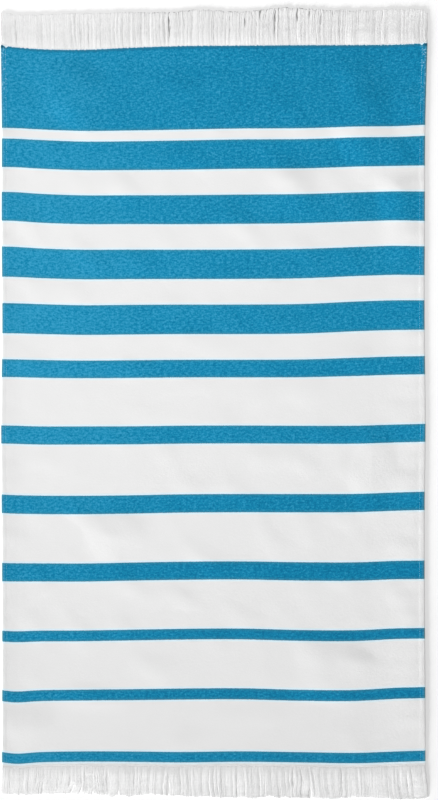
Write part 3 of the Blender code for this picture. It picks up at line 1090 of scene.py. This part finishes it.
def striped_cotton():
    """White cotton with blue bands of mottled weft."""
    material, shader, shade = new_finish("striped_cotton")
    flat = kept_at(shade, FLAT_PLACE, "Vector")
    across, along = flat.part("X"), flat.part("Y")
    inset = flat.maths("MINIMUM", across, TOWEL_WIDTH / MM - across)
    tooth = flat.unevenness(*TEETH) * 1.2
    past, lightness = bands(along + tooth + head_corners(inset, along, flat))
    flecks, specks = flat.unevenness(*FLECKS), flat.unevenness(*SPECKS)
    mottle = flecks * 2.0 + specks * 1.5 + flat.unevenness(*DRIFT) * 0.4 + lightness
    blue = mottled_blue(shade, mottle, across, along, inset, past)
    blue = worn_blue(shade, blue, specks, flecks, along, inset, past)
    base = plain_white(shade, along, past).mixed(blue, past < 0)
    weave = woven_relief(across, along, flat).raised(0.6, 0.10 * MM)
    cockle = flat.unevenness(*COCKLES).raised(0.7, 0.25 * MM, Normal=weave)
    give(shader, Base_Color=base, Normal=cockle, **MATT_COTTON)
    return material


cloth_finish = striped_cotton()
print("the striped cotton has", len(cloth_finish.node_tree.nodes), "nodes")

# %% [markdown]
# ## Loose yarn and sewing thread
# A yarn is two strands twisted round each other. The twist is a bump that runs round the yarn as it runs
# along it, from the place that each point has on its own yarn. Each point's tone, which holds the
# yarns' own whites and the shade painted on them, mixes the white with a shaded grey.
# The sewing thread is smoother. It is white too, but the blue weft has dyed it faintly where it crosses
# a band, and spots of painted shade are mixed in there.

# %% The yarn's and the thread's finishes
YARN_WHITE = (0.93, 0.93, 0.93)
# the grey of the shade painted on the yarns
YARN_SHADED = (0.34, 0.34, 0.34)
TWIST_LENGTH = 3.2
FUZZ = (3.2 * MM, 6 * MM, 1.0, 5.0)  # width and height, detail and seed, as of the cotton's spots
THREAD_WHITE = (0.70, 0.70, 0.70)
THREAD_PALE = (0.30, 0.62, 0.78)
# spots of painted shade on the thread where it crosses a band
THREAD_SHADED = (0.22, 0.54, 0.70)
THREAD_GRAIN = (1.1, 1.1, 1.0, 0.0)


def twisted_yarn():
    """White cotton yarn of two strands."""
    material, shader, shade = new_finish("loose_yarn")
    place = kept_at(shade, YARN_PLACE, "Vector")
    tone = kept_at(shade, YARN_TONE_AND_SHADE, "Fac")
    side, up, reach = place.part("X"), place.part("Y"), place.part("Z")
    turn = side.maths("ARCTAN2", up, side)
    strands = abs(side.maths("SINE", turn + reach * (math.pi / TWIST_LENGTH)))
    fuzz = shade.node("TexCoord", output="Object").unevenness(*FUZZ)
    # the tone mixes in the painted shade of the valleys, sides, roots and lower yarns
    base = colour(shade, YARN_SHADED).mixed(colour(shade, YARN_WHITE), (tone + fuzz * 0.2).clamped())
    give(shader, Base_Color=base, Normal=strands.raised(0.5, 0.1 * MM), **MATT_COTTON)
    return material


def sewing_thread():
    """White polyester sewing thread, faintly blue where it crosses a blue band, with spots of painted
    shade there.
    """
    material, shader, shade = new_finish("sewing_thread")
    flat = kept_at(shade, FLAT_PLACE, "Vector")
    past, _ = bands(flat.part("Y"))
    grain = flat.unevenness(*THREAD_GRAIN) + 0.5
    tinted_and_shaded = colour(shade, THREAD_SHADED).mixed(colour(shade, THREAD_PALE), grain)
    base = colour(shade, THREAD_WHITE).mixed(tinted_and_shaded, past < 0)
    give(shader, Base_Color=base, Roughness=0.6, Specular_IOR_Level=0.3)
    return material


yarn_finish = twisted_yarn()
thread_finish = sewing_thread()
woven_cloth.data.materials.append(cloth_finish)
hem_stitches.data.materials.append(thread_finish)

# %% Join each heading with its yarns


def join_fringe(end, heading, yarns):
    """Joins one end's heading and yarns into one piece, each part with its own finish."""
    heading.data.materials.append(cloth_finish)
    yarns.data.materials.append(yarn_finish)
    select_only(heading, yarns)
    bpy.ops.object.join()
    heading.name = "loose_fringe_" + end
    heading.data.name = heading.name
    return heading


fringes = {end: join_fringe(end, *parts) for end, parts in fringe_parts.items()}
SHARP_EDGE = math.radians(50)
for piece in (woven_cloth, hem_stitches, *fringes.values()):
    select_only(piece)
    bpy.ops.object.shade_smooth_by_angle(angle=SHARP_EDGE)
print("pieces:", woven_cloth.name, hem_stitches.name, [piece.name for piece in fringes.values()])

# %% [markdown]
# ## Floor and light
# The floor is a plain pale studio floor. A broad low light from the bottom left draws the soft shadow at
# the right and the top of the towel and shows the hems. A wide lamp overhead, nearer to the top left,
# and the pale room around give the even light of a product picture, a little dimmer at the bottom right.

# %% The studio
FLOOR_SIZE = 60
FLOOR_DROP = 0.05 * MM
FLOOR_WHITE = (0.985, 0.985, 0.985)
ROOM_LIGHT = 0.43
KEY_STRENGTH = 14.5
KEY_HEIGHT = 3.7  # degrees above the floor
KEY_TOWARDS = 56  # degrees from the X axis, the way that the light goes
KEY_SOFTNESS = 12  # degrees across, as seen from the towel
KEY_PLACE = (-2, -2, 1)
LAMP_POWER = 30
LAMP_PLACE = (-0.53, 0.45, 2.6)
LAMP_SIZE = 1.2


def lay_floor():
    """A plain pale floor, a hair below the towel's underside."""
    select_only()
    bpy.ops.mesh.primitive_plane_add(size=FLOOR_SIZE, location=(0, 0, -FLOOR_DROP))
    floor = bpy.context.object
    floor.name = "studio_floor"
    material, shader, _ = new_finish("studio_floor")
    give(shader, Base_Color=(*FLOOR_WHITE, 1), Roughness=0.9, Specular_IOR_Level=0.0)
    floor.data.materials.append(material)
    floor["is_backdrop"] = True


def hang_lights():
    """The low key light, the lamp overhead and the pale room."""
    height, towards = math.radians(KEY_HEIGHT), math.radians(KEY_TOWARDS)
    flat_way = math.cos(height)
    way = Vector((flat_way * math.cos(towards), flat_way * math.sin(towards), -math.sin(height)))
    turn = way.to_track_quat("-Z", "Y").to_euler()
    bpy.ops.object.light_add(type="SUN", location=KEY_PLACE, rotation=turn)
    key = bpy.context.object
    key.name = "low_key_light"
    key.data.energy = KEY_STRENGTH
    key.data.angle = math.radians(KEY_SOFTNESS)
    bpy.ops.object.light_add(type="AREA", location=LAMP_PLACE)
    lamp = bpy.context.object
    lamp.name = "overhead_lamp"
    lamp.data.energy = LAMP_POWER
    lamp.data.size = LAMP_SIZE
    room = bpy.data.worlds.new("pale_room")
    room.use_nodes = True
    background = room.node_tree.nodes["Background"]
    background.inputs["Color"].default_value = (1, 1, 1, 1)
    background.inputs["Strength"].default_value = ROOM_LIGHT
    bpy.context.scene.world = room


lay_floor()
hang_lights()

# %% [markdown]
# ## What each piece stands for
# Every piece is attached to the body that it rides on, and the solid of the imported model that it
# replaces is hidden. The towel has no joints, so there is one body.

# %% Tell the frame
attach(woven_cloth, "root")
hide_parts("towel_cloth")
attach(hem_stitches, "root")
for end, piece in fringes.items():
    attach(piece, "root")
    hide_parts("fringe_" + end)

# %% Print both boxes and finish
visual_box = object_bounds()
boxes = {
    "cad": [[float(value) for value in part] for part in cad_box],
    "visual": [[float(value) for value in part] for part in visual_box],
}
for name, box in boxes.items():
    print(name, "box in mm:", [[round(value / MM, 1) for value in part] for part in box])
